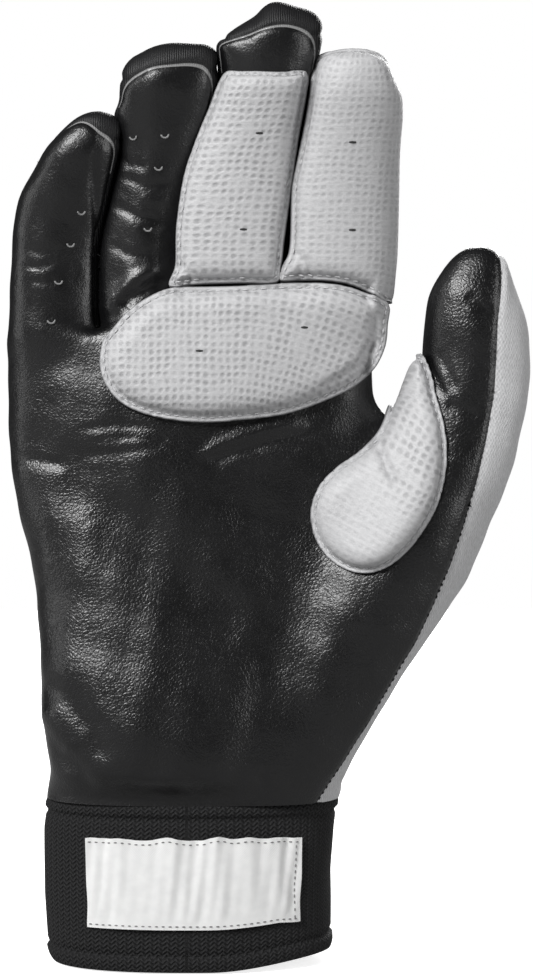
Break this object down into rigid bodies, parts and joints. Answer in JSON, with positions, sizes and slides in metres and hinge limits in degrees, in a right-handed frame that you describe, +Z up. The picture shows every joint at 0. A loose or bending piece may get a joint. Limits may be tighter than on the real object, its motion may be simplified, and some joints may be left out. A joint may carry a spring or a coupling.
{
  "type": "protective inner glove",
  "caption": "Padded inner glove for a ball catcher: thin leather palm, foam-backed pads on palm, thumb and fingers, knit back, and an elastic wrist cuff with a closing tab.",
  "frame": {"origin": "the middle of the wrist opening, in the plane of the cuff's hem", "axes": "+Z up the glove, from the wrist towards the fingertips; +X towards the thumb; -Y is the palm side and +Y the back of the hand"},
  "size_m": [0.1345, 0.0505, 0.2476],
  "materials": {
    "black_leather": "thin black sheepskin with a fine pebble grain and a soft shine",
    "pale_leather": "light grey leather pressed with rows of small round dimples, matt",
    "grey_knit": "light grey stretch knit",
    "black_fabric": "black stretch fabric",
    "black_knit": "black ribbed elastic knit",
    "foam": "open foam inside the pads",
    "label": "woven white label, bare",
    "hook_tape": "black hook tape",
    "loop_tape": "black loop tape"
  },
  "bodies": {
    "hand": {"palm_leather": "black_leather", "back_knit": "grey_knit", "crotch_gusset_little_ring": "black_fabric", "crotch_gusset_ring_middle": "black_fabric", "crotch_gusset_middle_index": "black_fabric", "palm_pad_cover": "pale_leather", "palm_pad_foam": "foam", "thenar_pad_cover": "pale_leather", "thenar_pad_foam": "foam", "cuff_hem": "black_knit", "cuff_band": "black_knit", "cuff_welt": "black_knit", "cuff_label": "label", "loop_patch": "loop_tape", "tab_root": "black_knit"},
    "closure_tab_body": {"closure_tab": "black_knit", "hook_patch": "hook_tape"},
    "little_proximal": {"little_proximal_front": "black_leather", "little_proximal_fork_thumb_side": "black_fabric", "little_proximal_back": "black_fabric"},
    "little_distal": {"little_distal_front": "black_leather", "little_distal_fork_thumb_side": "black_fabric", "little_distal_back": "black_fabric"},
    "ring_proximal": {"ring_proximal_front": "black_leather", "ring_proximal_fork_thumb_side": "black_fabric", "ring_proximal_fork_outer_side": "black_fabric", "ring_proximal_back": "black_fabric"},
    "ring_distal": {"ring_distal_front": "black_leather", "ring_distal_fork_thumb_side": "black_fabric", "ring_distal_fork_outer_side": "black_fabric", "ring_distal_back": "black_fabric"},
    "middle_proximal": {"middle_proximal_front": "black_leather", "middle_proximal_fork_thumb_side": "black_fabric", "middle_proximal_fork_outer_side": "black_fabric", "middle_proximal_back": "black_fabric", "middle_proximal_pad_cover": "pale_leather", "middle_proximal_pad_foam": "foam"},
    "middle_distal": {"middle_distal_front": "black_leather", "middle_distal_fork_thumb_side": "black_fabric", "middle_distal_fork_outer_side": "black_fabric", "middle_distal_back": "black_fabric", "middle_distal_pad_cover": "pale_leather", "middle_distal_pad_foam": "foam"},
    "index_proximal": {"index_proximal_front": "black_leather", "index_proximal_fork_outer_side": "black_fabric", "index_proximal_back": "black_fabric", "index_proximal_pad_cover": "pale_leather", "index_proximal_pad_foam": "foam"},
    "index_distal": {"index_distal_front": "black_leather", "index_distal_fork_outer_side": "black_fabric", "index_distal_back": "black_fabric", "index_distal_pad_cover": "pale_leather", "index_distal_pad_foam": "foam"},
    "thumb_proximal": {"thumb_proximal_front": "black_leather", "thumb_proximal_back": "grey_knit", "thumb_pad_cover": "pale_leather", "thumb_pad_foam": "foam"},
    "thumb_distal": {"thumb_distal_front": "black_leather", "thumb_distal_back": "grey_knit"}
  },
  "joints": [
    {"name": "little_mcp", "type": "hinge", "parent": "hand", "child": "little_proximal", "pos_m": [-0.03533, -0.013, 0.1646], "axis": [1, 0, 0], "range_deg": [0, 60]},
    {"name": "little_pip", "type": "hinge", "parent": "little_proximal", "child": "little_distal", "pos_m": [-0.03347, -0.01458, 0.18802], "axis": [0.9781, 0, -0.2079], "range_deg": [0, 65]},
    {"name": "ring_mcp", "type": "hinge", "parent": "hand", "child": "ring_proximal", "pos_m": [-0.01333, -0.013, 0.1713], "axis": [1, 0, 0], "range_deg": [0, 60]},
    {"name": "ring_pip", "type": "hinge", "parent": "ring_proximal", "child": "ring_distal", "pos_m": [-0.00899, -0.01499, 0.20011], "axis": [0.9781, 0, -0.2079], "range_deg": [0, 65]},
    {"name": "middle_mcp", "type": "hinge", "parent": "hand", "child": "middle_proximal", "pos_m": [0.01147, -0.013, 0.1734], "axis": [1, 0, 0], "range_deg": [0, 60]},
    {"name": "middle_pip", "type": "hinge", "parent": "middle_proximal", "child": "middle_distal", "pos_m": [0.01525, -0.01531, 0.20647], "axis": [0.9781, 0, -0.2079], "range_deg": [0, 65]},
    {"name": "index_mcp", "type": "hinge", "parent": "hand", "child": "index_proximal", "pos_m": [0.03739, -0.013, 0.1729], "axis": [1, 0, 0], "range_deg": [0, 60]},
    {"name": "index_pip", "type": "hinge", "parent": "index_proximal", "child": "index_distal", "pos_m": [0.03876, -0.01486, 0.20034], "axis": [0.9936, 0, -0.1132], "range_deg": [0, 65]},
    {"name": "thumb_mcp", "type": "hinge", "parent": "hand", "child": "thumb_proximal", "pos_m": [0.06737, -0.0189, 0.12943], "axis": [0.9363, 0, -0.3512], "range_deg": [0, 40]},
    {"name": "thumb_ip", "type": "hinge", "parent": "thumb_proximal", "child": "thumb_distal", "pos_m": [0.07357, -0.01805, 0.15767], "axis": [0.996, 0, -0.0889], "range_deg": [0, 45]},
    {"name": "tab_hinge", "type": "hinge", "parent": "hand", "child": "closure_tab_body", "pos_m": [0.01943, 0.02356, 0.0214], "axis": [0, 0, -1], "range_deg": [0, 100]}
  ]
}
